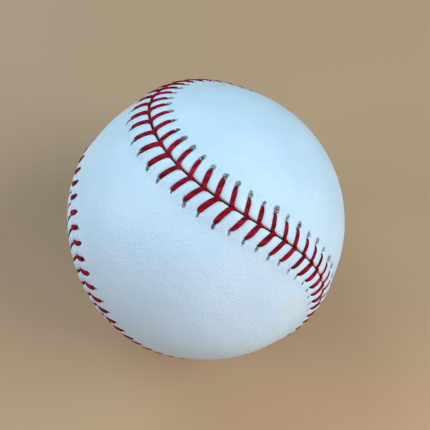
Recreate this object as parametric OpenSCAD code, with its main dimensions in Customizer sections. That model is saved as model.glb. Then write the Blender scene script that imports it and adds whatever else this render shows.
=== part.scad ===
// A baseball: a cork and rubber centre, four layers of wound yarn, two
// figure-eight leather panels and the two runs of red thread that join them.
// The centre of the ball is the origin and the floor lies square to +Z.
// The fold of the seam and the way that the ball lies are both set by angles,
// and with every lie angle at zero the seam sits square to the axes.

/* [Centre] */
// Diameter of the cork ball in the middle
cork_d = 20.6; // [18:0.1:22]
// Thickness of the black rubber around the cork
black_rubber_t = 3.95; // [3:0.05:5]
// Thickness of the ring that fills the joint between the black halves
joint_ring_t = 0.8; // [0.5:0.1:2]
// Thickness of the red rubber around the black rubber
red_rubber_t = 2.35; // [1.5:0.05:3.5]
// Space left at the joint between the red halves
red_joint_gap = 0.1; // [0.05:0.01:0.5]

/* [Windings] */
// Thickness of the first winding, four-ply grey wool
first_wind_t = 14.6; // [13:0.1:16]
// Thickness of the second winding, three-ply white wool
second_wind_t = 1.65; // [1:0.05:3]
// Thickness of the third winding, three-ply grey wool
third_wind_t = 2.15; // [1:0.05:3]
// Thickness of the last winding, fine white cotton
last_wind_t = 0.4; // [0.3:0.05:1.5]
// Space between a layer and the one around it
layer_gap = 0.05; // [0.02:0.01:0.1]

/* [Cover] */
// Thickness of the leather
leather_t = 1.25; // [1.1:0.05:1.5]
// Width of the slit between the two panels
slit_w = 0.9; // [0.7:0.05:1.2]
// How far the hollow under the leather runs on past the needle holes
hollow_margin = 0.3; // [0.1:0.05:1]
// How far the seam stays short of the middle of a round end
reach_angle = 21.37; // [19:0.01:25]
// How far the seam sways sideways, which narrows the waist of a panel
sway_angle = 22.53; // [19:0.01:25]
// Ripple on the seam's reach, which flattens or sharpens the round ends
end_ripple_angle = -0.8; // [-2:0.01:1]
// Ripple on the seam's sway, which makes the sides of a panel fuller
side_ripple_angle = 0.67; // [-1:0.01:1.5]

/* [Stitches] */
// Stitch pairs around the ball, an even number
stitch_pairs = 108; // [96:2:116]
// Distance of the needle holes from the seam
hole_reach = 4.9; // [4:0.1:5.5]
// How far a needle hole lies behind the point of its stitch
hole_back = 1.45; // [0.5:0.05:2.5]
// Diameter of a needle hole
hole_d = 1.4; // [1.2:0.1:1.8]
// Width of the thread where it lies on the leather
thread_w = 1.2; // [0.8:0.05:1.2]
// Thickness of the thread
thread_t = 0.5; // [0.4:0.05:0.55]
// Space between the thread and the leather
thread_gap = 0.05; // [0.02:0.01:0.1]
// Share of a stitch between the dives of the two sides into the slit
dive_lag_share = 0.35; // [0.35:0.05:0.5]
// Share of a stitch by which the row starts after the zero of the seam
phase_share = 0.36; // [0:0.01:1]
// Share of a stitch by which hand sewing runs ahead on one half of the ball
// and falls behind on the other
drift_share = 0.29; // [0:0.01:0.4]
// Where on the way around the row has run ahead the most
drift_angle = 84; // [0:1:360]
// Share of a stitch for the drift that comes back twice on the way around
twice_drift_share = 0.27; // [0:0.01:0.4]
// Where it has run ahead the most, as an angle of its own two turns
twice_drift_angle = 54; // [0:1:360]
// Share of a stitch for the drift that comes back four times, because the
// waists and the round ends of the panels are sewn at different spacings
waist_drift_share = 0.26; // [0:0.01:0.4]
// Where it has run ahead the most, as an angle of its own four turns
waist_drift_angle = 113; // [0:1:360]

/* [Lie] */
// Turn of the ball about X as it lies on the table
lie_angle_x = 131.9; // [-180:0.1:180]
// Turn about Y, made after the turn about X
lie_angle_y = 28.6; // [-180:0.1:180]
// Turn about Z, made last
lie_angle_z = 80.5; // [-180:0.1:180]

/* [Hidden] */
cork_r = cork_d/2;
black_in_r = cork_r + layer_gap;
black_r = black_in_r + black_rubber_t;
red_in_r = black_r + layer_gap;
red_r = red_in_r + red_rubber_t;
first_in_r = red_r + layer_gap;
first_r = first_in_r + first_wind_t;
second_in_r = first_r + layer_gap;
second_r = second_in_r + second_wind_t;
third_in_r = second_r + layer_gap;
third_r = third_in_r + third_wind_t;
last_in_r = third_r + layer_gap;
last_r = last_in_r + last_wind_t;
cover_in_r = last_r + layer_gap;
ball_r = cover_in_r + leather_t;
// Radius that every cutting shape runs out to, past the whole ball
cut_r = 2*ball_r;
// Degrees of a great circle for each millimetre on the leather
arc_deg = 180/PI/ball_r;
// Points in the table of lengths along the seam, and its step in degrees
table_n = 1440;
table_step = 360/table_n;
// Half of the span over which the direction of the seam is taken
probe_deg = table_step/2;
// Flat walls along each edge of the slit, a multiple of four
edge_walls = 2*stitch_pairs;
// Share of the way around the seam at which an end of each panel lies
first_end_share = 0.75;
second_end_share = 0;
// Middle of the thread over the leather and under it
over_r = ball_r + thread_gap + thread_t/2;
under_r = cover_in_r + thread_gap + thread_t/2;
// Top of the hollow that the leather leaves for the thread under it
hollow_r = cover_in_r + thread_t + 2*thread_gap;
hollow_reach = hole_reach + hole_d/2 + hollow_margin;

$fn = 96;

function unit(v) = v/norm(v);

// The seam on a sphere of radius one: it swings up and down twice in a turn,
// and its sideways sway narrows each panel at the waist
function seam_at(t) =
    let (
        up = (90 - reach_angle)*cos(2*t) + end_ripple_angle*cos(6*t),
        around = t + sway_angle*sin(4*t) + side_ripple_angle*sin(8*t)
    )
    [cos(up)*cos(around), cos(up)*sin(around), sin(up)];

// Length along the seam at each step, and the turn that belongs to a length
seam_run = [for (i = 0, run = 0; i <= table_n; i = i + 1,
    run = run + norm(seam_at(i*table_step) - seam_at((i - 1)*table_step))) run];
seam_turns = [for (i = [0:table_n]) [seam_run[i]/seam_run[table_n], i*table_step]];
function turn_of(share) = lookup(share - floor(share), seam_turns);

// Direction from the centre to a point beside the seam: the share of the way
// along it, the distance to one side and the distance ahead
function beside(share, off, ahead = 0) =
    let (t = turn_of(share), c = seam_at(t), e = seam_ahead(t), n = cross(c, e))
    unit(c*cos(off*arc_deg) + n*sin(off*arc_deg) + e*ahead/ball_r);
function seam_ahead(t) = unit(seam_at(t + probe_deg) - seam_at(t - probe_deg));

// Share of the way around at which a stitch has its point
function stitch_share(i) =
    let (
        way = i*360/stitch_pairs,
        drift = drift_share*cos(way - drift_angle) +
            twice_drift_share*cos(2*way - twice_drift_angle) +
            waist_drift_share*cos(4*way - waist_drift_angle)
    )
    (i + phase_share + drift)/stitch_pairs;

// Everything on one side of the seam, from the given distance beside it on, as
// a fan of flat walls from the centre that is closed across the panel
module seam_side(side, off) {
    n = edge_walls;
    edge = [for (i = [0:n - 1]) beside(i/n, side*off)*cut_r];
    // Corner of the fan at a step around the seam, counted from the middle of
    // one end of the panel
    at = function (i) 1 + (i + (side > 0 ? first_end_share : second_end_share)*n) % n;
    polyhedron(points = concat([[0, 0, 0]], edge), faces = concat(
        [for (i = [0:n - 1]) turned(side, [0, at(i), at(i + 1)])],
        [for (i = [0:n/2 - 1]) turned(side, [at(i), at(n - i), at(n - 1 - i), at(i + 1)])]
    ));
}

// A face, or the same face seen from behind for the other side
function turned(side, face) = side > 0 ? face : [for (i = [len(face) - 1:-1:0]) face[i]];

module ball_lie() {
    rotate([lie_angle_x, lie_angle_y, lie_angle_z]) children();
}

// Hollow ball between two radii
module shell(in_r, out_r) {
    difference() {
        sphere(r = out_r);
        sphere(r = in_r);
    }
}

// Half of a hollow ball, kept clear of the middle by the given distance
module half_shell(in_r, out_r, clear) {
    intersection() {
        shell(in_r, out_r);
        translate([-cut_r, -cut_r, clear]) cube([2*cut_r, 2*cut_r, cut_r]);
    }
}

module cork_core() {
    color([0.69, 0.52, 0.34]) ball_lie() sphere(r = cork_r);
}

module black_shell_a() {
    color([0.09, 0.09, 0.10]) ball_lie()
        half_shell(black_in_r, black_r, joint_ring_t/2 + layer_gap);
}

module black_shell_b() {
    color([0.09, 0.09, 0.10]) ball_lie() rotate([180, 0, 0])
        half_shell(black_in_r, black_r, joint_ring_t/2 + layer_gap);
}

module joint_ring() {
    color([0.62, 0.13, 0.10]) ball_lie() intersection() {
        shell(black_in_r, black_r);
        translate([-cut_r, -cut_r, -joint_ring_t/2]) cube([2*cut_r, 2*cut_r, joint_ring_t]);
    }
}

module red_shell_a() {
    color([0.66, 0.16, 0.12]) ball_lie() rotate([90, 0, 0])
        half_shell(red_in_r, red_r, red_joint_gap/2);
}

module red_shell_b() {
    color([0.66, 0.16, 0.12]) ball_lie() rotate([-90, 0, 0])
        half_shell(red_in_r, red_r, red_joint_gap/2);
}

module first_winding() {
    color([0.52, 0.52, 0.53]) ball_lie() shell(first_in_r, first_r);
}

module second_winding() {
    color([0.90, 0.88, 0.83]) ball_lie() shell(second_in_r, second_r);
}

module third_winding() {
    color([0.58, 0.58, 0.58]) ball_lie() shell(third_in_r, third_r);
}

module last_winding() {
    color([0.93, 0.92, 0.88]) ball_lie() shell(last_in_r, last_r);
}

// Turns +Z onto a direction
module aim(v) {
    rotate([0, acos(v[2]/norm(v)), atan2(v[1], v[0])]) children();
}

// One row of needle holes, each square to the leather
module needle_holes(side) {
    for (i = [0:stitch_pairs - 1])
        aim(beside(stitch_share(i), side*hole_reach, -hole_back))
            translate([0, 0, last_in_r]) cylinder(d = hole_d, h = 2*(ball_r - last_in_r));
}

// Figure-eight panel on one side of the seam, with a hollow along its edge for
// the thread that runs under it
module cover_panel(side) {
    difference() {
        intersection() {
            shell(cover_in_r, ball_r);
            seam_side(side, slit_w/2);
        }
        difference() {
            sphere(r = hollow_r);
            seam_side(side, hollow_reach);
        }
        needle_holes(side);
    }
}

module cover_panel_a() {
    color([0.78, 0.87, 0.94]) ball_lie() cover_panel(1);
}

module cover_panel_b() {
    color([0.78, 0.87, 0.94]) ball_lie() cover_panel(-1);
}

// Stations of one leg of thread: up through its hole, over the leather, down the
// slit and on under the other panel to the next hole. They are given as shares
// of the hole's distance from the seam and of the way ahead to the dive.
function leg(i, side) =
    let (
        share = stitch_share(i),
        dive = -side*dive_lag_share/2*seam_pitch,
        off_shares = [1, 1, 0.55, 0.2, 0, 0],
        way_shares = [0, 0, 0.3, 0.7, 1, 1],
        radii = [under_r, over_r, over_r, over_r, over_r, under_r]
    )
    [for (j = [0:len(radii) - 1]) radii[j]*beside(share, side*off_shares[j]*hole_reach,
        (1 - way_shares[j])*-hole_back + way_shares[j]*dive)];
seam_pitch = seam_run[table_n]*ball_r/stitch_pairs;

// One run of thread, the whole way around: it changes sides at every stitch.
// Each ring of corners lies square to the way that the thread goes there, and
// is flattened like a waxed thread that is pulled down on leather.
module thread_run(first_side) {
    path = [for (i = [0:stitch_pairs - 1])
        each leg(i, i % 2 == 0 ? first_side : -first_side)];
    last = len(path) - 1;
    stations = (last + 1)/stitch_pairs;
    corner_shares = [[0.6, 1], [-0.6, 1], [-1, 0], [-0.6, -1], [0.6, -1], [1, 0]];
    rings = [for (i = [0:last])
        let (
            from = unit(path[max(i, 1)] - path[max(i, 1) - 1]),
            on = unit(path[min(i, last - 1) + 1] - path[min(i, last - 1)]),
            way = unit(from + on),
            ahead = seam_ahead(turn_of(stitch_share(floor(i/stations)))),
            across = unit(ahead - way*(ahead*way)),
            up = cross(across, way)/(way*on)
        )
        each [for (c = corner_shares)
            path[i] + across*c[0]*thread_w/2 + up*c[1]*thread_t/2]];
    n = len(corner_shares);
    sides = [for (i = [0:last - 1], j = [0:n - 1])
        let (a = i*n + j, b = i*n + (j + 1) % n)
        each [[a, b, b + n], [a, b + n, a + n]]];
    polyhedron(points = rings, faces = concat(sides,
        [[for (j = [n - 1:-1:0]) j], [for (j = [0:n - 1]) last*n + j]]));
}

module thread_run_a() {
    color([0.62, 0.07, 0.16]) ball_lie() thread_run(1);
}

module thread_run_b() {
    color([0.62, 0.07, 0.16]) ball_lie() thread_run(-1);
}

cork_core();
black_shell_a();
black_shell_b();
joint_ring();
red_shell_a();
red_shell_b();
first_winding();
second_winding();
third_winding();
last_winding();
cover_panel_a();
cover_panel_b();
thread_run_a();
thread_run_b();
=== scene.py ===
import bpy
import numpy as np
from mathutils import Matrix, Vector


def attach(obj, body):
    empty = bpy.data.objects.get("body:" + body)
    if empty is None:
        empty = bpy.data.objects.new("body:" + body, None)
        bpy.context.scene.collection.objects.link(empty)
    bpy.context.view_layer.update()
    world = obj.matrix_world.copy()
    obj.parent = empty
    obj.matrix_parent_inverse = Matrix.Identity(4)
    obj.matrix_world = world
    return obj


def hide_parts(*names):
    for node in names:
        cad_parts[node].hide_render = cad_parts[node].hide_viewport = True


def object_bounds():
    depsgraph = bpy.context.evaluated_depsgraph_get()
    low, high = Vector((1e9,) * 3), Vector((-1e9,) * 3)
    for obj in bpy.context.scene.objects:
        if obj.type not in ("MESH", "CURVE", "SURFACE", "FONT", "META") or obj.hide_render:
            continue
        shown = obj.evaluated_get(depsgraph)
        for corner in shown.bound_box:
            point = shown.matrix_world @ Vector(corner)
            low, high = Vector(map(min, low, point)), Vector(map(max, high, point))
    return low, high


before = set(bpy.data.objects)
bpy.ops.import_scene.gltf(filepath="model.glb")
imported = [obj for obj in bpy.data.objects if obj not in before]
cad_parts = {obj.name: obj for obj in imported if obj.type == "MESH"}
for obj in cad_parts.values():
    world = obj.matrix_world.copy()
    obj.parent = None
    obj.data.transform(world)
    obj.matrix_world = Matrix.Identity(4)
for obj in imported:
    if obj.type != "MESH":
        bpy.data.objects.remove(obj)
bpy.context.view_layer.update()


# CORK CORE. A ball of ground cork pressed together with a little rubber, in the
# very middle. The CAD sphere stays, and gets the granules of pressed cork.
def hex_linear(code):
    """An sRGB hex colour as linear red, green and blue, and an alpha of 1."""
    srgb = np.array([int(code[i:i + 2], 16) for i in (1, 3, 5)]) / 255
    linear = np.where(srgb <= 0.04045, srgb / 12.92, ((srgb + 0.055) / 1.055) ** 2.4)
    return (*linear.tolist(), 1.0)


def node(tree, kind, inputs=None, stops=(), **settings):
    """Adds a node. Settings are its properties, inputs maps a socket's name or
    number to a value, a hex colour or another node's output, and stops are the
    places and hex colours of a ramp. Lengths in a shader are in metres, so that
    a pattern's scale is 1000 over its size in millimetres."""
    made = tree.nodes.new("ShaderNode" + kind)
    for key, value in settings.items():
        setattr(made, key, value)
    for key, value in (inputs or {}).items():
        if isinstance(value, bpy.types.NodeSocket):
            tree.links.new(value, made.inputs[key])
        else:
            made.inputs[key].default_value = hex_linear(value) if isinstance(value, str) else value
    for i, (place, colour) in enumerate(stops):
        steps = made.color_ramp.elements
        step = steps[i] if i < len(steps) else steps.new(place)
        step.position = place
        step.color = hex_linear(colour)
    return made


def empty_material(name):
    """A material with no nodes yet, and its node tree."""
    material = bpy.data.materials.new(name)
    material.use_nodes = True
    material.node_tree.nodes.clear()
    return material, material.node_tree


def surface(tree, inputs):
    """Ends a tree in a Principled shader on the material's output."""
    shader = node(tree, "BsdfPrincipled", inputs)
    node(tree, "OutputMaterial", {"Surface": shader.outputs[0]})


def finish_cad_node(name, material):
    """Puts a material on every slot of a CAD node, or on a new slot."""
    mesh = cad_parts[name].data
    if not len(mesh.materials):
        mesh.materials.append(material)
    for i in range(len(mesh.materials)):
        mesh.materials[i] = material


def pressed_cork():
    """Cork ground to 2 mm granules and pressed: tan and brown grains with dark
    joints between them, dry and dull."""
    material, tree = empty_material("pressed_cork")
    place = node(tree, "TexCoord").outputs["Object"]
    grains = node(tree, "TexVoronoi", {"Vector": place, "Scale": 1000 / 2.0})
    tone = node(tree, "SeparateColor", {0: grains.outputs["Color"]}).outputs[0]
    colour = node(tree, "ValToRGB", {0: tone},
                  stops=[(0.05, "#5F4128"), (0.4, "#A27B50"), (0.9, "#C79F6D")]).outputs[0]
    bump = node(tree, "Bump", {"Strength": 0.5, "Distance": 0.0002,
                               "Height": grains.outputs["Distance"]}, invert=True).outputs[0]
    surface(tree, {"Base Color": colour, "Normal": bump, "Roughness": 0.85, "IOR": 1.45})
    return material


finish_cad_node("cork_core", pressed_cork())


# RUBBER SHELLS. Two cups of black rubber round the cork with a red rubber ring
# in their joint, and two cups of red rubber round those, all moulded and cured
# into one pill. The CAD solids stay.
def moulded_rubber(name, dark, light, roughness):
    """Rubber cured in a mould: even and matt, with fine flecks of filler about
    0.8 mm apart and a skin that is slightly uneven every 3 mm."""
    material, tree = empty_material(name)
    place = node(tree, "TexCoord").outputs["Object"]
    flecks = node(tree, "TexNoise", {"Vector": place, "Scale": 1000 / 0.8,
                                     "Detail": 3.0}).outputs["Fac"]
    colour = node(tree, "ValToRGB", {0: flecks}, stops=[(0.35, dark), (0.7, light)]).outputs[0]
    skin = node(tree, "TexNoise", {"Vector": place, "Scale": 1000 / 3.0,
                                   "Detail": 2.0}).outputs["Fac"]
    bump = node(tree, "Bump", {"Strength": 0.3, "Distance": 0.0001, "Height": skin}).outputs[0]
    surface(tree, {"Base Color": colour, "Normal": bump, "Roughness": roughness, "IOR": 1.52})
    return material


black_rubber = moulded_rubber("black_rubber", "#161618", "#2B2B2D", 0.55)
red_rubber = moulded_rubber("red_rubber", "#7C231C", "#9A332A", 0.62)
ring_rubber = moulded_rubber("red_ring_rubber", "#86201A", "#A23A2E", 0.6)
for shell_name, rubber in (("black_shell_a", black_rubber), ("black_shell_b", black_rubber),
                           ("joint_ring", ring_rubber),
                           ("red_shell_a", red_rubber), ("red_shell_b", red_rubber)):
    finish_cad_node(shell_name, rubber)


# WINDINGS. Four layers of yarn wound tight round the pill by machine, each turn
# across the last: thick grey wool, white wool, grey wool again, and a finishing
# layer of fine white cotton set in glue. The CAD shells stay.
def wound_yarn(name, yarn_mm, dark, light):
    """Yarn that lies in parallel turns, with the direction changing from one
    patch to the next. Each patch of a cell pattern, nine yarns across, has its
    own direction, and the turns are the waves of the distance along that
    direction, one to a yarn, painted darker between the yarns as shade."""
    material, tree = empty_material(name)
    place = node(tree, "TexCoord").outputs["Object"]
    patches = node(tree, "TexVoronoi", {"Vector": place,
                                        "Scale": 1000 / (9 * yarn_mm)}).outputs["Color"]
    centred = node(tree, "VectorMath", {0: patches, 1: (0.5, 0.5, 0.5)},
                   operation="SUBTRACT").outputs[0]
    way = node(tree, "VectorMath", {0: centred}, operation="NORMALIZE").outputs[0]
    reach = node(tree, "VectorMath", {0: place, 1: way}, operation="DOT_PRODUCT").outputs["Value"]
    turns = node(tree, "Math", {0: reach, 1: 2000 * np.pi / yarn_mm},
                 operation="MULTIPLY").outputs[0]
    wave = node(tree, "Math", {0: turns}, operation="SINE").outputs[0]
    fibres = node(tree, "TexNoise", {"Vector": place, "Scale": 1000 / 0.5,
                                     "Detail": 3.0}).outputs["Fac"]
    # Painted shade and light: each turn is painted darker between the yarns and lighter on top of
    # them, over the fibres
    shade = node(tree, "Math", {0: wave, 1: 0.25, 2: fibres}, operation="MULTIPLY_ADD").outputs[0]
    colour = node(tree, "ValToRGB", {0: shade}, stops=[(0.25, dark), (0.75, light)]).outputs[0]
    bump = node(tree, "Bump", {"Strength": 0.8, "Distance": 0.00025, "Height": shade}).outputs[0]
    surface(tree, {"Base Color": colour, "Normal": bump, "Roughness": 0.9, "IOR": 1.5,
                   "Sheen Weight": 0.3})
    return material


# The finishing cotton is finer than 0.5 mm, drawn at 0.6 mm so that it shows
for winding_name, yarn_mm, dark, light in (("first_winding", 1.4, "#5A5A5E", "#97979A"),
                                           ("second_winding", 1.2, "#B9B3A6", "#E9E4D8"),
                                           ("third_winding", 1.2, "#66666A", "#9D9DA0"),
                                           ("last_winding", 0.6, "#C9C5B9", "#F0EDE4")):
    finish_cad_node(winding_name, wound_yarn(winding_name + "_yarn", yarn_mm, dark, light))


# COVER. Two figure-eight panels of bleached white cowhide, cut flat, wetted,
# stretched over the wound centre and drawn together edge to edge by the thread,
# which lifts the leather along the seam.
BALL_R = 37.0          # mm, leather away from the seam
COVER_IN_R = 35.82     # mm, flesh side of the leather
HOLLOW_R = 36.55       # mm, top of the space for the thread under the edge
# The four angles of the seam's formula, and the turns by which the ball lies
REACH, SWAY, END_RIPPLE, SIDE_RIPPLE = np.radians([21.37, 22.53, -0.8, 0.67])
LIE = np.radians([131.9, 28.6, 80.5])


def lie_matrix(angles):
    """Turn about X, then Y, then Z, as the ball lies on the table."""
    cx, cy, cz = np.cos(angles)
    sx, sy, sz = np.sin(angles)
    about_x = np.array([[1, 0, 0], [0, cx, -sx], [0, sx, cx]])
    about_y = np.array([[cy, 0, sy], [0, 1, 0], [-sy, 0, cy]])
    about_z = np.array([[cz, -sz, 0], [sz, cz, 0], [0, 0, 1]])
    return about_z @ about_y @ about_x


LIE_TURN = lie_matrix(LIE)


def unit(v):
    """Each vector over its own length."""
    return v / np.linalg.norm(v, axis=-1, keepdims=True)


def smooth(x):
    """Nought below 0, one above 1, and the cubic 3x^2 - 2x^3 between."""
    x = np.clip(x, 0, 1)
    return x * x * (3 - 2 * x)


def seam_at(t):
    """The seam on a ball of radius one. The latitude is (90 degrees less the
    reach) times cos 2t, with a ripple times cos 6t, and the longitude is t plus
    the sway times sin 4t, with a ripple times sin 8t."""
    up = (np.pi / 2 - REACH) * np.cos(2 * t) + END_RIPPLE * np.cos(6 * t)
    around = t + SWAY * np.sin(4 * t) + SIDE_RIPPLE * np.sin(8 * t)
    return np.stack([np.cos(up) * np.cos(around), np.cos(up) * np.sin(around), np.sin(up)], axis=-1)


# Table of the length run along the seam, for a ball of radius one
TURNS = np.linspace(0, 2 * np.pi, 8001)
SEAM_STEPS = np.linalg.norm(np.diff(seam_at(TURNS), axis=0), axis=1)
SEAM_RUN = np.concatenate([[0], np.cumsum(SEAM_STEPS)])
SEAM_LENGTH = SEAM_RUN[-1] * BALL_R


def turn_at(along):
    """The seam's t at a length along it, by interpolation in the table."""
    return np.interp(np.mod(along / SEAM_LENGTH, 1.0) * SEAM_RUN[-1], SEAM_RUN, TURNS)


def way_cosine(along, angle):
    """Cosine of the way round the seam, with its top at an angle."""
    return np.cos(2 * np.pi * along / SEAM_LENGTH - angle)


def seam_frame(along):
    """At a length along the seam: the way out, the way ahead, and the way
    across to the first panel, which is their cross product."""
    t = turn_at(along)
    out = seam_at(t)
    ahead = unit(seam_at(t + 1e-4) - seam_at(t - 1e-4))
    return out, ahead, np.cross(out, ahead)


def beside(along, off):
    """Direction of a point that lies off to one side of the seam: the way out
    turned towards the way across by the distance over the radius."""
    out, _, across = seam_frame(along)
    turn = (off / BALL_R)[..., None]
    return unit(out * np.cos(turn) + across * np.sin(turn))


# Place of each stitch's point along the seam, and two past either end. The row
# was sewn by hand, so that it drifts, and no two stitches are quite alike. The
# drift is how far the row runs ahead or behind once, twice and four times on the
# way round, in shares of a stitch, and where it has run ahead the most.
STITCHES = 108
PITCH = SEAM_LENGTH / STITCHES
PHASE = 0.36           # share of a stitch
DRIFT = {1: (0.29, np.radians(84)), 2: (0.27, np.radians(54)), 4: (0.26, np.radians(113))}
NUMBERS = np.arange(-2, STITCHES + 3)
WAY = 2 * np.pi * NUMBERS / STITCHES
DRIFTED = sum(share * np.cos(waves * WAY - at) for waves, (share, at) in DRIFT.items())
STARTS = (NUMBERS + PHASE + DRIFTED) * PITCH
OWN_WAY = WAY[2:-3]    # of the stitches themselves, without the ones past the ends

# From here on the key 1 is the first panel and -1 the second. In mm: how far each
# hole lies off the seam and behind its place in the row, and the point ahead of it
HOLE_REACH = 4.88
HOLE_BACK = {1: 1.58, -1: 1.32}
POINT = {1: -0.2, -1: 0.15}
# Share of the distance to the hole where the thread dips, and how much less of it
# there is in a tight leg
LEG_END = {1: 0.9, -1: 0.95}
LEG_SHORT = {1: 0.13, -1: 0.15}
by_hand = np.random.default_rng(11)


def uneven(spread, most):
    """A draw for each stitch from a bell curve of a spread, kept within a most."""
    return np.clip(by_hand.normal(0, spread, STITCHES), -most, most)


HOLE_OFF = {s: HOLE_REACH + uneven(0.13, 0.3) for s in (1, -1)}
HOLE_AT = {s: -HOLE_BACK[s] + uneven(0.13, 0.3) for s in (1, -1)}
POINT_AT = {s: POINT[s] + uneven(0.09, 0.2) for s in (1, -1)}
FULLNESS = {s: 1 + uneven(0.07, 0.14) for s in (1, -1)}
# How tight each leg was pulled, from 0 to 1, which comes back twice on the way
# round. A tight leg goes down sooner.
PULL_MEAN, PULL_SWAY, PULL_AT = 0.15, 1.1, np.radians(330)
PULL = {s: np.clip(PULL_MEAN + PULL_SWAY * np.cos(2 * OWN_WAY - PULL_AT)
                   + by_hand.normal(0, 0.12, STITCHES), 0, 1) for s in (1, -1)}
LEG_LENGTH = {s: (LEG_END[s] - LEG_SHORT[s] * PULL[s]) * HOLE_OFF[s] for s in (1, -1)}
# The dark mark at each needle hole, outward of the thread, in mm: painted shade of
# the open hole with fibres pulled loose round it. It is broad and broken on the first panel, narrow
# and pulled ahead on the second, and smaller, nearer and fainter where the leg is tight
MARK_HALF = {1: 0.68, -1: 0.36}
MARK_LONG = {s: 1 - less * PULL[s] for s, less in ((1, 0.1), (-1, 0.3))}
MARK_OUT = {s: out - less * PULL[s] for s, out, less in ((1, 0.18, 0.12), (-1, 0.35, 0.4))}
MARK_TURN = {1: 0, -1: np.radians(22) * np.cos(OWN_WAY - np.radians(110))}
MARK_SWING = {s: MARK_TURN[s] + by_hand.normal(0, 0.22, STITCHES) for s in (1, -1)}
MARK_SIZE = {s: 1 + uneven(0.16, 0.35) for s in (1, -1)}
MARK_DARK = {s: np.clip(dark - fade * PULL[s] + by_hand.normal(0, 0.13, STITCHES), 0.3, 1)
             for s, dark, fade in ((1, 0.85, 0.45), (-1, 0.98, 0.5))}

# Power of the bend of a loose leg, and how much less it is in a tight one
LOOSE_BEND, TIGHT_BEND_LESS = 1.6, 0.95


def leg_line(stitch, off, side):
    """Where a leg of thread lies along the seam, ahead of its stitch's point, by
    a power of the share of the way in. From its hole a loose leg runs in square
    to the seam and then bends ahead, and a tight one bends ahead at once."""
    i = np.mod(stitch, STITCHES)
    share_in = 1 - np.clip(off / HOLE_OFF[side][i], 0, 1)
    bend = share_in ** (LOOSE_BEND - TIGHT_BEND_LESS * PULL[side][i])
    return HOLE_AT[side][i] + (POINT_AT[side][i] - HOLE_AT[side][i]) * bend


def from_stitch(along, off, side):
    """Distance ahead of the nearest leg, and ahead and outward of the nearest
    hole, whose number comes with them. The nearest leg is found by a straight
    line from hole to point, and the nearest hole by its place in the row."""
    count = np.interp(along, STARTS, NUMBERS)
    share_in = 1 - np.clip(off / HOLE_REACH, 0, 1)
    mean_line = -HOLE_BACK[side] + (HOLE_BACK[side] + POINT[side]) * share_in
    leg = np.round(count - mean_line / PITCH).astype(int)
    to_leg = (count - leg) * PITCH - leg_line(leg, off, side)
    hole = np.round(count + HOLE_BACK[side] / PITCH).astype(int)
    i = np.mod(hole, STITCHES)
    return to_leg, (count - hole) * PITCH - HOLE_AT[side][i], off - HOLE_OFF[side][i], i


# Lift of the leather along the seam in mm, more on one side of the ball
SEAM_LIFT, LIFT_SWAY, LIFT_AT = 0.66, 0.45, np.radians(50)
FURROW = 0.45          # mm, how far the cut edges are drawn down along two arcs
SHORT_ARC_AT = np.radians(28)
SUNK = 1.6             # how much less proud a leg is where the seam is drawn down


def seam_lift(along):
    """Lift of the leather at the seam: its mean, and a cosine of the way round."""
    return SEAM_LIFT * (1 + LIFT_SWAY * way_cosine(along, LIFT_AT))


def short_arc(along):
    """One along a tenth of the way round, falling to nought over 14 degrees on
    either side of that: a smooth step of a cosine, from 0.85 to 0.95 of it."""
    return smooth((way_cosine(along, SHORT_ARC_AT) - 0.85) / 0.1)


def furrow(along):
    """How far the edges are drawn down at the seam: along the short arc, and by
    another smooth step of a cosine where the seam is lifted the least."""
    long_arc = smooth(0.2 - 0.9 * way_cosine(along, LIFT_AT))
    return FURROW * np.maximum(long_arc, short_arc(along))


def proud(along, side):
    """How proud of the leather the legs lie, from 1 down to -0.6 where they are
    sunk. On the first panel it is a smooth step of a cosine of the way round,
    with its top where the seam is lifted the most, and on the second panel the
    legs lie proud but for the short arc."""
    if side < 0:
        return 1 - SUNK * short_arc(along)
    return 1 - SUNK * smooth(0.4 - 0.7 * way_cosine(along, LIFT_AT))


# In mm: where the lift ends and over how far it falls, where the furrow ends, the
# swell's height and where it starts and ends, and a groove's depth and half width
LIFT_END, LIFT_FALL, FURROW_END = 8.8, 8.0, 2.2
SWELL, SWELL_FROM, SWELL_TO = 0.18, 0.3, 6.8
GROOVE, GROOVE_HALF = 0.2, 0.6
LEG_PROUD = 0.1        # mm, how much higher a proud leg lies, and its groove with it


def leather_rise(along, off, side):
    """Height of the leather over the ball without its needle holes: the lift of
    the seam less its furrow, a slight swell between stitches and a groove under
    each leg, all of them smooth steps and bell curves."""
    to_leg = from_stitch(along, off, side)[0]
    lift = seam_lift(along) * smooth((LIFT_END - off) / LIFT_FALL)
    lift = lift - furrow(along) * (1 - smooth(off / FURROW_END))
    band = smooth((off - SWELL_FROM) / 1.2) * smooth((SWELL_TO - off) / 2.4)
    swell = SWELL * (0.5 - 0.5 * np.cos(2 * np.pi * to_leg / PITCH)) * band
    under_leg = np.exp(-(to_leg / GROOVE_HALF) ** 2) * smooth((HOLE_REACH - off) / 0.8)
    return lift + swell + (LEG_PROUD * proud(along, side) - GROOVE) * under_leg


# Height in mm, how much longer along the seam than across, how far outward, and
# the half width: of the pit where the thread dips, and of the puckered leather
PIT, PUCKER = (-0.6, 1.25, 0.05, 0.33), (-0.12, 0.9, 0.1, 0.5)
RIM, RIM_R, RIM_HALF = 0.08, 1.0, 0.35


def hole_dent(along, off, side):
    """Depth of the pit where the thread dips into its needle hole, and of the
    puckered leather outward of it, with its rim: three bell curves."""
    _, ahead, outward, i = from_stitch(along, off, side)
    from_dip = outward + HOLE_OFF[side][i] - LEG_LENGTH[side][i]
    dent = 0
    for from_middle, (height, longer, out, half) in ((from_dip, PIT), (outward, PUCKER)):
        dent = dent + height * np.exp(-(np.hypot(ahead / longer, from_middle - out) / half) ** 2)
    rim = RIM * np.exp(-((np.hypot(ahead, outward) - RIM_R) / RIM_HALF) ** 2)
    return dent + rim * smooth((outward + 0.4) / 0.6)


# Angle from the waist to the middle of a round end, and how far it lags the
# seam's turn before half way and leads it after
END_ANGLE, END_AHEAD = np.radians([130, 8])


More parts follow.
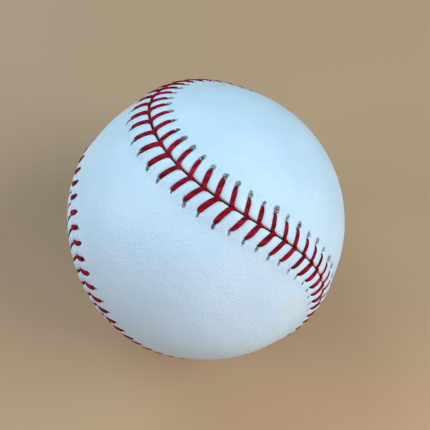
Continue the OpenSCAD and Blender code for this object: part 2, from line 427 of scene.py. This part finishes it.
def middle_line(along, side):
    """Where the row of a panel that starts at the seam ends, on the great
    circle down the middle of the panel. Its angle from the waist grows with
    the turn of the seam, faster half way, up to the middle of the round end."""
    t = turn_at(along)
    if side < 0:
        t = np.pi / 2 - t
    t = np.mod(t + np.pi / 2, 2 * np.pi) - np.pi / 2
    t = np.where(t > np.pi / 2, np.pi - t, t)
    angle = END_ANGLE * 2 * t / np.pi - END_AHEAD * np.sin(4 * t)
    point = np.stack([np.zeros_like(angle), np.sin(angle), np.cos(angle)], axis=-1)
    if side < 0:
        point = np.stack([point[..., 1], point[..., 0], -point[..., 2]], axis=-1)
    return point


def arc_between(a, b, shares):
    """Points at shares of the way along the great circle from a to b: each end
    weighs the sine of the angle left to the other, over the sine of the whole."""
    angle = np.arccos(np.clip(np.sum(a * b, axis=-1), -1, 1))[:, None, None]
    s = np.asarray(shares)[None, :, None]
    return (np.sin((1 - s) * angle) * a[:, None] + np.sin(s * angle) * b[:, None]) / np.sin(angle)


# Room for a mark in mm, either way along the seam, and from and to beside it
MARK_ROOM, MARK_FROM, MARK_TO = 1.75, 3.5, 7.6


def needle_marks(along, off, side):
    """For each point: one near a needle hole and nought elsewhere, the distances
    from the middle of the hole's mark across it and out along it, over its own
    half width and length and turned by its swing, and how dark the mark is."""
    _, ahead, outward, i = from_stitch(along, off, side)
    turned = MARK_SWING[side][i]
    out_way = outward * np.cos(turned) + ahead * np.sin(turned)
    across_way = ahead * np.cos(turned) - outward * np.sin(turned)
    near = smooth((MARK_ROOM - np.abs(ahead)) / 0.3) * smooth((off - MARK_FROM) / 0.3)
    return {"hole_near": near * smooth((MARK_TO - off) / 0.6),
            "mark_across": across_way / (MARK_HALF[side] * MARK_SIZE[side][i]),
            "mark_out": (out_way - MARK_OUT[side][i]) / (MARK_LONG[side][i] * MARK_SIZE[side][i]),
            "mark_dark": MARK_DARK[side][i]}


ROWS_PER_STITCH = 16
BAND = 9.0             # mm from the seam, as far as the leather is lifted or marked
# Where the cut edge starts and ends beside the seam, and how far it goes down
CUT_FOOT = {1: 0.1, -1: 0.14}
CUT_TOP = {1: 0.57, -1: 0.2}
CUT_DEPTH = {1: 0.26, -1: 0.16}
EDGE_ROUND = 0.05      # mm, how much lower the grain is at the top of the edge
# Where round the seam the edges are most open, and where the cut edge is painted darkest
EDGE_OPEN_AT, EDGE_DARKER_AT = np.radians([90, 30])


def panel_surface(side):
    """A panel as one closed grid. Each row starts on the flesh side at the
    panel's middle line, comes in to the slit, climbs the cut edge, and goes out
    over the grain side to the middle line again. With it come, for each point,
    its cut edge colour with the painted shade of the slit, and where it lies
    from its needle hole."""
    rows = STITCHES * ROWS_PER_STITCH
    along = np.arange(rows) / rows * SEAM_LENGTH
    foot, top, depth = CUT_FOOT[side], CUT_TOP[side], CUT_DEPTH[side]
    # Columns up the cut edge, over its round top, under the legs, close together
    # round the needle holes, and out to the end of the band
    cut = np.linspace(0, 1, 4)[:-1]
    offs = np.concatenate([foot + (top - foot) * cut, top + np.array([0, 0.07, 0.2, 0.45]),
                           np.linspace(1.15, 4.1, 8), np.linspace(4.3, 6.4, 15),
                           [6.8, 7.4, 8.2, BAND]])
    # How far each column goes into the colour of the cut edge and into painted shade, which is
    # darkest, near black, at the foot of the cut edge down in the slit
    raw_and_shade = np.zeros(len(offs))
    raw_and_shade[:len(cut) + 1] = [1.0, 0.6, 0.5, 0.35]
    # The edges meet up tight on one side of the ball and open on the other side,
    # where the cut is deeper and its painted shade darker. Along another part of the way round the
    # cut edge is painted darker still.
    opened = 0.6 + 0.4 * way_cosine(along, EDGE_OPEN_AT)[:, None]
    edge_darker = 0.14 + 0.24 * way_cosine(along, EDGE_DARKER_AT)[:, None]
    a, o = np.meshgrid(along, offs, indexing="ij")
    rise = leather_rise(a, np.maximum(o, top), side) + hole_dent(a, o, side)
    rise = rise - depth * opened * (1 - smooth((o - foot) / (top - foot)))
    rise = rise - EDGE_ROUND * (1 - smooth((o - top) / 0.3))
    grain = beside(a, side * o) * (BALL_R + rise)[..., None]
    middle = middle_line(along, side)
    band_end = beside(along, side * np.full(rows, BAND))
    # The last of the rise falls away over the first two of nine columns
    columns = np.arange(1, 10)
    outer_r = BALL_R + rise[:, -1:] * (1 - smooth(columns / 2))[None]
    outer = unit(arc_between(band_end, middle, columns / 9)) * outer_r[..., None]
    wall_r = HOLLOW_R + (BALL_R + rise[:, :1] - HOLLOW_R) * np.array([[0.35, 0.7]])
    wall = beside(along, side * np.full(rows, foot))[:, None] * wall_r[..., None]
    flesh_offs = np.array([BAND, 6.4, 5.9, foot])
    flesh_r = np.array([COVER_IN_R, COVER_IN_R, HOLLOW_R, HOLLOW_R])
    a2, o2 = np.meshgrid(along, flesh_offs, indexing="ij")
    flesh = beside(a2, side * o2) * flesh_r[None, :, None]
    inner = arc_between(band_end, middle, np.arange(4, 0, -1) / 4) * COVER_IN_R
    grid = np.concatenate([inner, flesh, wall, grain, outer], axis=1)
    near = inner.shape[1] + flesh.shape[1] + wall.shape[1]
    span = slice(near, near + len(offs))
    values = {"raw_edge_and_shade": np.zeros(grid.shape[:2])}
    # The flesh side and the wall of the slit are painted near black, as shade
    values["raw_edge_and_shade"][:, :near] = 1.0
    values["raw_edge_and_shade"][:, span] = (raw_and_shade + edge_darker * (raw_and_shade > 0.3)) * opened
    for key, marks in needle_marks(a, o, side).items():
        values[key] = np.zeros(grid.shape[:2])
        values[key][:, span] = marks
    return grid, values


def panel_faces(rows, columns, side):
    """Quads over the grid, closed along the seam. A row and its mirror row
    share their points on the middle line, so that both ends of the panel close."""
    index = np.arange(rows * columns).reshape(rows, columns)
    row = np.arange(rows)
    mirror = np.mod(rows // 2 - row, rows) if side > 0 else np.mod(-row, rows)
    keep = np.minimum(row, mirror)
    index[:, 0] = index[keep, 0]
    index[:, -1] = index[keep, -1]
    following = np.roll(index, -1, axis=0)
    quads = np.stack([index[:, :-1], following[:, :-1], following[:, 1:], index[:, 1:]], axis=-1)
    quads = quads.reshape(-1, 4)
    return quads if side > 0 else quads[:, ::-1]


def add_mesh(name, points_mm, faces, loop_uv=None, point_values=None):
    """Mesh object at the origin from points in millimetres and quads. Points
    that no face uses are dropped."""
    used, faces_again = np.unique(faces, return_inverse=True)
    faces_again = faces_again.reshape(faces.shape)
    mesh = bpy.data.meshes.new(name)
    mesh.from_pydata((points_mm[used] * 0.001).tolist(), [], faces_again.tolist())
    if loop_uv is not None:
        layer = mesh.uv_layers.new(name="along")
        layer.data.foreach_set("uv", loop_uv.reshape(-1).astype(np.float32))
    for key, values in (point_values or {}).items():
        attribute = mesh.attributes.new(key, "FLOAT", "POINT")
        attribute.data.foreach_set("value", values[used].astype(np.float32))
    mesh.shade_smooth()
    thing = bpy.data.objects.new(name, mesh)
    bpy.context.scene.collection.objects.link(thing)
    return thing


def bleached_cowhide():
    """Alum-tanned cowhide, bleached white and plated smooth: a cool white with
    faint mottling, a fine wrinkled grain and a low satin sheen, grey-brown on
    its cut edge with painted shade down in the slit, and dark where the needle
    came through, painted shade of the open hole, with fibres fluffed up round it."""
    material, tree = empty_material("bleached_cowhide")
    place = node(tree, "TexCoord").outputs["Object"]
    mottle = node(tree, "TexNoise", {"Vector": place, "Scale": 1000 / 14, "Detail": 5.0,
                                     "Roughness": 0.65}).outputs["Fac"]
    hide = node(tree, "ValToRGB", {0: mottle},
                stops=[(0.32, "#B9DBF3"), (0.5, "#BEDFF6"), (0.7, "#C4E3F9")]).outputs[0]
    # One pale yellow tanning stain, 5 mm across, low on the second panel
    stain_at = (0.0205, -0.0277, 0.0136)
    from_stain = node(tree, "VectorMath", {0: place, 1: stain_at},
                      operation="DISTANCE").outputs["Value"]
    stain = node(tree, "MapRange", {0: from_stain, 1: 0.004, 2: 0.001, 4: 0.28},
                 interpolation_type="SMOOTHSTEP").outputs[0]
    hide = node(tree, "Mix", {0: stain, 6: hide, 7: "#D9DCC8"}, data_type="RGBA").outputs[2]
    # Grain wrinkles are 0.65 to 0.75 mm apart, with finer ones in them
    pores = node(tree, "TexVoronoi", {"Vector": place, "Scale": 1000 / 0.75},
                 feature="SMOOTH_F1").outputs["Distance"]
    wrinkles = node(tree, "TexNoise", {"Vector": place, "Scale": 1000 / 0.65,
                                       "Detail": 4.0}).outputs["Fac"]
    broad = node(tree, "TexNoise", {"Vector": place, "Scale": 1000 / 4.0,
                                    "Detail": 2.0}).outputs["Fac"]
    # How far a point is from the middle of its needle mark, in marks
    across = node(tree, "Attribute", attribute_name="mark_across").outputs["Fac"]
    out = node(tree, "Attribute", attribute_name="mark_out").outputs["Fac"]
    flat = node(tree, "CombineXYZ", {0: across, 1: out}).outputs[0]
    from_mark = node(tree, "VectorMath", {0: flat}, operation="LENGTH").outputs["Value"]
    near = node(tree, "Attribute", attribute_name="hole_near").outputs["Fac"]
    dark = node(tree, "Attribute", attribute_name="mark_dark").outputs["Fac"]
    tufts = node(tree, "TexNoise", {"Vector": place, "Scale": 1000 / 0.6, "Detail": 4.0,
                                    "Roughness": 0.7}).outputs["Fac"]
    ragged = node(tree, "Math", {0: tufts, 1: 1.8, 2: from_mark},
                  operation="MULTIPLY_ADD").outputs[0]
    mark = node(tree, "MapRange", {0: ragged, 1: 2.05, 2: 1.75},
                interpolation_type="SMOOTHSTEP").outputs[0]
    mark = node(tree, "Math", {0: mark, 1: near}, operation="MULTIPLY").outputs[0]
    # Painted shade of the needle hole, dark in the middle of the mark, and loose fibres fluffed up
    # white at its rim
    fibres = node(tree, "TexNoise", {"Vector": place, "Scale": 1000 / 0.35,
                                     "Detail": 3.0}).outputs["Fac"]
    paler = node(tree, "Math", {0: from_mark, 1: 0.17, 2: fibres},
                 operation="MULTIPLY_ADD").outputs[0]
    paler = node(tree, "Math", {0: dark, 1: -0.16, 2: paler}, operation="MULTIPLY_ADD").outputs[0]
    hole_shade_and_fibres = node(tree, "ValToRGB", {0: paler},
                stops=[(0.38, "#2B2726"), (0.5, "#7C7F85"), (0.62, "#B3C0CC")]).outputs[0]
    hide = node(tree, "Mix", {0: mark, 6: hide, 7: hole_shade_and_fibres}, data_type="RGBA").outputs[2]
    # The cut edge: pale brown fibres, with painted shade, near black, down in the slit, on its wall
    # and on the flesh side
    raw_and_shade = node(tree, "Attribute", attribute_name="raw_edge_and_shade").outputs["Fac"]
    cut = node(tree, "ValToRGB", {0: raw_and_shade},
               stops=[(0.5, "#B6ADA6"), (0.7, "#857971"), (0.92, "#221A18")]).outputs[0]
    cut_share = node(tree, "MapRange", {0: raw_and_shade, 1: 0.15, 2: 0.45}).outputs[0]
    colour = node(tree, "Mix", {0: cut_share, 6: hide, 7: cut}, data_type="RGBA").outputs[2]
    # The height adds up the grain, the broad unevenness and the torn fibres
    fine = node(tree, "Math", {0: pores, 1: 0.7, 2: wrinkles}, operation="MULTIPLY_ADD").outputs[0]
    height = node(tree, "Math", {0: broad, 1: 0.9, 2: fine}, operation="MULTIPLY_ADD").outputs[0]
    fluffed = node(tree, "Math", {0: mark, 1: fibres}, operation="MULTIPLY").outputs[0]
    height = node(tree, "Math", {0: fluffed, 1: 4.0, 2: height},
                  operation="MULTIPLY_ADD").outputs[0]
    bump = node(tree, "Bump", {"Strength": 0.8, "Distance": 0.00011, "Height": height}).outputs[0]
    rough = node(tree, "MapRange", {0: mottle, 1: 0.3, 2: 0.7, 3: 0.4, 4: 0.52}).outputs[0]
    surface(tree, {"Base Color": colour, "Normal": bump, "Roughness": rough, "IOR": 1.48})
    return material


cowhide = bleached_cowhide()
for panel_name, side in (("cover_panel_a", 1), ("cover_panel_b", -1)):
    grid, values = panel_surface(side)
    rows, columns = grid.shape[:2]
    panel = add_mesh(panel_name + "_leather", grid.reshape(-1, 3) @ LIE_TURN.T,
                     panel_faces(rows, columns, side),
                     point_values={key: v.reshape(-1) for key, v in values.items()})
    panel.data.materials.append(cowhide)
    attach(panel, "root")
    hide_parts(panel_name)


# THREAD. One long waxed cotton thread of two twisted strands, with a needle on
# each end, so that two runs cross in the slit at every stitch: up through a
# hole, over the leather, down the slit and under the other panel.
THREAD_W = {1: 1.2, -1: 1.36}    # mm, at the fullest of a leg that lies flat
THREAD_T = 0.62                  # mm
THREAD_SIDES = 8
TWIST = 2.6                      # mm for half a turn of the two strands
UNDER_R = 36.18                  # mm, middle of the thread under the leather
# Where the rings of a leg stand, as shares of its length from the slit, how
# full the thread is there and how high its middle rides on the leather. Legs
# that were pulled tighter are slimmer and end in more of a point.
LEG_SHARES = np.array([1.03, 1.0, 0.97, 0.91, 0.79, 0.62, 0.44, 0.27, 0.12])
LEG_FULL = np.array([0.68, 0.78, 0.9, 0.98, 1.0, 1.0, 0.98, 0.94, 0.88])
LEG_POINTED = np.array([0.45, 0.5, 0.48, 0.3, 0.06, -0.06, -0.05, 0.02, 0.06])
LEG_RIDE = np.array([-0.9, -0.32, -0.08, 0.03, 0.07, 0.08, 0.1, 0.14, 0.2])
# How much deeper it goes at the slit, as a share of the seam's furrow there
LEG_DIP = np.array([0, 0, 0, 0, 0, 0, 0.1, 0.4, 0.9])
# The three rings down in the slit: how far ahead of the stitch's point, off the
# seam and below the top they stand. The top is the lifted seam less a multiple of
# the furrow, and a little proud of that on either side.
SLIT_AHEAD = {1: [0.3, 0.85, 1.3], -1: [0.3, 0.85, 1.1]}
SLIT_OFF = [0.14, 0.02, -0.02]
SLIT_DOWN = [0, 0.22, 0.95]
SLIT_FURROWS, SLIT_PROUD = 1.9, {1: 0.2, -1: 0.05}
# Width and thickness of those three rings, and of the one under the leather
SLIT_W = [0.85, 0.85, 0.7, 0.8]
SLIT_T = [0.55, 0.58, 0.5, 0.4]


def thread_stations(side):
    """Rings of every leg on one side, one row to a stitch: the length along the
    seam, the distance from it, the radius, the width and the thickness. A leg
    follows its line over the leather, and then goes down the slit in an arc."""
    n = np.arange(STITCHES)[:, None]
    start = STARTS[2:2 + STITCHES][:, None]
    off = LEG_SHARES[None] * LEG_LENGTH[side][:, None]
    along = start + leg_line(n, off, side)
    radius = BALL_R + leather_rise(along, off, side) + LEG_RIDE[None]
    radius = radius + LEG_PROUD * proud(along, side) - LEG_DIP[None] * furrow(along)
    full = LEG_FULL[None] - LEG_POINTED[None] * PULL[side][:, None]
    width = THREAD_W[side] * full * FULLNESS[side][:, None]
    thick = np.full_like(width, THREAD_T)
    point = start + POINT_AT[side][:, None]
    top = BALL_R + seam_lift(point) - SLIT_FURROWS * furrow(point) + SLIT_PROUD[side]
    slit_along = point + np.array([SLIT_AHEAD[side]])
    slit_off = np.tile(SLIT_OFF, (STITCHES, 1))
    slit_radius = np.maximum(top - np.array([SLIT_DOWN]), UNDER_R)
    # Under the other panel, half way to the next hole
    next_point = STARTS[3:3 + STITCHES][:, None]
    under_along = 0.5 * (slit_along[:, -1:] + next_point - HOLE_BACK[-side])
    under_off = np.full((STITCHES, 1), -HOLE_REACH / 2)
    along = np.concatenate([along, slit_along, under_along], axis=1)
    off = side * np.concatenate([off, slit_off, under_off], axis=1)
    radius = np.concatenate([radius, slit_radius, np.full((STITCHES, 1), UNDER_R)], axis=1)
    width = np.concatenate([width, np.tile(SLIT_W, (STITCHES, 1))], axis=1)
    thick = np.concatenate([thick, np.tile(SLIT_T, (STITCHES, 1))], axis=1)
    return np.stack([along, off, radius, width, thick], axis=-1)


def thread_surface(first_side):
    """Tube round a run's stations, with one ring to each. A ring is an ellipse
    square to the way that the thread goes, and lies flat on the leather. With it
    comes the length run along the thread at each ring."""
    stations = {side: thread_stations(side) for side in (1, -1)}
    odd = np.arange(STITCHES) % 2 == 1
    legs = np.where(odd[:, None, None], stations[-first_side], stations[first_side])
    along, off, radius, width, thick = np.moveaxis(legs.reshape(-1, 5), -1, 0)
    spine = beside(along, off) * radius[:, None]
    way = unit(np.gradient(spine, axis=0))
    ahead = seam_frame(along)[1]
    flat = unit(ahead - way * np.sum(ahead * way, axis=1, keepdims=True))
    up = np.cross(flat, way)
    run = np.concatenate([[0], np.cumsum(np.linalg.norm(np.diff(spine, axis=0), axis=1))])
    around = np.arange(THREAD_SIDES) / THREAD_SIDES * 2 * np.pi
    ring = (spine[:, None] + flat[:, None] * (np.cos(around)[None] * width[:, None] / 2)[..., None]
            + up[:, None] * (np.sin(around)[None] * thick[:, None] / 2)[..., None])
    return ring, run


def tube_faces(rings, sides):
    """Quads between rings, and a fan of quads over each end."""
    index = np.arange(rings * sides).reshape(rings, sides)
    near, far = index[:-1], index[1:]
    walls = np.stack([near, np.roll(near, -1, axis=1), np.roll(far, -1, axis=1), far], axis=-1)
    i = np.arange(sides // 2 - 1)
    cap = np.stack([i, i + 1, sides - 2 - i, sides - 1 - i], axis=-1)
    return walls.reshape(-1, 4), np.concatenate([cap[:, ::-1], cap + (rings - 1) * sides])


def tube_uv(run, sides, caps):
    """For each corner of the walls, the millimetres run along the thread and the
    share of the way round it, and noughts for the corners of the caps."""
    u = np.stack([run[:-1], run[:-1], run[1:], run[1:]], axis=-1)[:, None].repeat(sides, axis=1)
    v0 = np.arange(sides) / sides
    v = np.stack([v0, v0 + 1 / sides, v0 + 1 / sides, v0], axis=-1)[None]
    walls = np.stack([u, v.repeat(len(run) - 1, axis=0)], axis=-1).reshape(-1, 2)
    return np.concatenate([walls, np.zeros((caps.size, 2))])


def waxed_cotton():
    """Two-ply cotton thread dyed crimson and drawn through wax: deep red, with
    slanting strands painted lighter and darker as their light and shade, fine
    fibres and a soft waxy shine."""
    material, tree = empty_material("waxed_cotton_thread")
    uv = node(tree, "UVMap", uv_map="along").outputs[0]
    parts = node(tree, "SeparateXYZ", {0: uv})
    # The length counts in twists, and a turn round the thread counts as two
    around = node(tree, "Math", {0: parts.outputs[1], 1: 2.0}, operation="MULTIPLY").outputs[0]
    turn = node(tree, "Math", {0: parts.outputs[0], 1: 1 / TWIST, 2: around},
                operation="MULTIPLY_ADD").outputs[0]
    # Each strand has five yarns
    strand_angle = node(tree, "Math", {0: turn, 1: 2 * np.pi}, operation="MULTIPLY").outputs[0]
    strand = node(tree, "Math", {0: strand_angle}, operation="SINE").outputs[0]
    yarn_angle = node(tree, "Math", {0: turn, 1: 10 * np.pi}, operation="MULTIPLY").outputs[0]
    yarn = node(tree, "Math", {0: yarn_angle}, operation="SINE").outputs[0]
    place = node(tree, "TexCoord").outputs["Object"]
    fibre = node(tree, "TexNoise", {"Vector": place, "Scale": 1000 / 0.4,
                                    "Detail": 3.0}).outputs["Fac"]
    tone = node(tree, "TexNoise", {"Vector": place, "Scale": 1000 / 4.0,
                                   "Detail": 2.0}).outputs["Fac"]
    mixed = node(tree, "Math", {0: fibre, 1: tone}, operation="ADD").outputs[0]
    # The strands are painted lighter and darker in turn along the twist: painted light and shade of
    # the round strands, over the dye's own fibres and tone
    shade = node(tree, "Math", {0: strand, 1: 0.16, 2: mixed}, operation="MULTIPLY_ADD").outputs[0]
    half = node(tree, "Math", {0: shade, 1: 0.5}, operation="MULTIPLY").outputs[0]
    colour = node(tree, "ValToRGB", {0: half},
                  stops=[(0.34, "#4E000E"), (0.5, "#80001C"), (0.64, "#A80A2E")]).outputs[0]
    fine = node(tree, "Math", {0: yarn, 1: 0.3, 2: fibre}, operation="MULTIPLY_ADD").outputs[0]
    height = node(tree, "Math", {0: strand, 1: 0.8, 2: fine}, operation="MULTIPLY_ADD").outputs[0]
    bump = node(tree, "Bump", {"Strength": 0.7, "Distance": 0.00012, "Height": height}).outputs[0]
    surface(tree, {"Base Color": colour, "Normal": bump, "Roughness": 0.6, "IOR": 1.45,
                   "Specular IOR Level": 0.12})
    return material


waxed_thread = waxed_cotton()
for run_name, first_side in (("thread_run_a", 1), ("thread_run_b", -1)):
    ring, run = thread_surface(first_side)
    rings, sides = ring.shape[:2]
    walls, caps = tube_faces(rings, sides)
    thread = add_mesh(run_name + "_thread", ring.reshape(-1, 3) @ LIE_TURN.T,
                      np.concatenate([walls, caps]), loop_uv=tube_uv(run, sides, caps))
    thread.data.materials.append(waxed_thread)
    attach(thread, "root")
    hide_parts(run_name)


# CAMERA. It looks down on the ball from in front, as the photograph does, from
# 191 mm away, with the ball a little left of the middle and a little low.
CAMERA_UP = np.radians(65)
BALL_FROM_CAMERA = np.array([-0.0605, -0.0472, -5.154]) * BALL_R * 0.001
SENSOR_MM, FOCAL_PX, PHOTO_PX = 36, 698.8, 430
camera_data = bpy.data.cameras.new("camera")
camera = bpy.data.objects.new("camera", camera_data)
bpy.context.scene.collection.objects.link(camera)
right = np.array([1, 0, 0])
top = np.array([0, np.sin(CAMERA_UP), np.cos(CAMERA_UP)])
toward = np.array([0, -np.cos(CAMERA_UP), np.sin(CAMERA_UP)])
camera.location = (-(BALL_FROM_CAMERA[0] * right + BALL_FROM_CAMERA[1] * top
                     + BALL_FROM_CAMERA[2] * toward)).tolist()
camera.rotation_euler = (np.pi / 2 - CAMERA_UP, 0, 0)
camera_data.sensor_width = SENSOR_MM
camera_data.lens = SENSOR_MM * FOCAL_PX / PHOTO_PX
camera_data.clip_start = 0.01
bpy.context.scene.camera = camera


# FLOOR. A plain pale table, a little warm, that throws some warm light back up
# onto the underside of the ball. It is 2 m square.
floor_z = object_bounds()[0][2]
floor_mesh = bpy.data.meshes.new("floor")
floor_mesh.from_pydata([(x, y, floor_z) for x, y in ((-1, -1), (1, -1), (1, 1), (-1, 1))],
                       [], [(0, 1, 2, 3)])
floor = bpy.data.objects.new("floor", floor_mesh)
bpy.context.scene.collection.objects.link(floor)
matt_table, tree = empty_material("matt_table")
surface(tree, {"Base Color": "#A68F72", "Roughness": 0.7})
floor_mesh.materials.append(matt_table)


# LIGHT. Daylight from a window on the right, weaker light from a wall on the
# left and from the sky behind, and a small warm lamp in front that looks down
# on the table, so that the table lights the ball from below.
def add_area(name, place, size, watts, colour):
    """Square lamp, with its side in metres, that faces the middle of the ball."""
    data = bpy.data.lights.new(name, "AREA")
    data.size = size
    data.energy = watts
    data.color = hex_linear(colour)[:3]
    lamp = bpy.data.objects.new(name, data)
    lamp.location = place
    lamp.rotation_euler = Vector(place).to_track_quat("Z", "Y").to_euler()
    bpy.context.scene.collection.objects.link(lamp)
    return lamp


ROOM_LIGHT = 0.18
add_area("window", (0.62, -0.12, 0.55), 0.5, 5.2, "#F7FDFF")
add_area("left_wall", (-0.75, -0.1, 0.4), 0.5, 3.2, "#FFF6FC")
add_area("sky_behind", (-0.35, 0.45, 0.5), 0.5, 2.8, "#DFFAFF")
table_lamp = add_area("table_lamp", (0.1, -0.17, 0.1), 0.12, 0.24, "#FFDCD0")
table_lamp.rotation_euler = (0, 0, 0)    # straight down
world = bpy.data.worlds.new("room")
bpy.context.scene.world = world
world.use_nodes = True
background = world.node_tree.nodes["Background"]
background.inputs["Color"].default_value = hex_linear("#FFFFFF")
background.inputs["Strength"].default_value = ROOM_LIGHT
bpy.context.scene.view_settings.view_transform = "Standard"
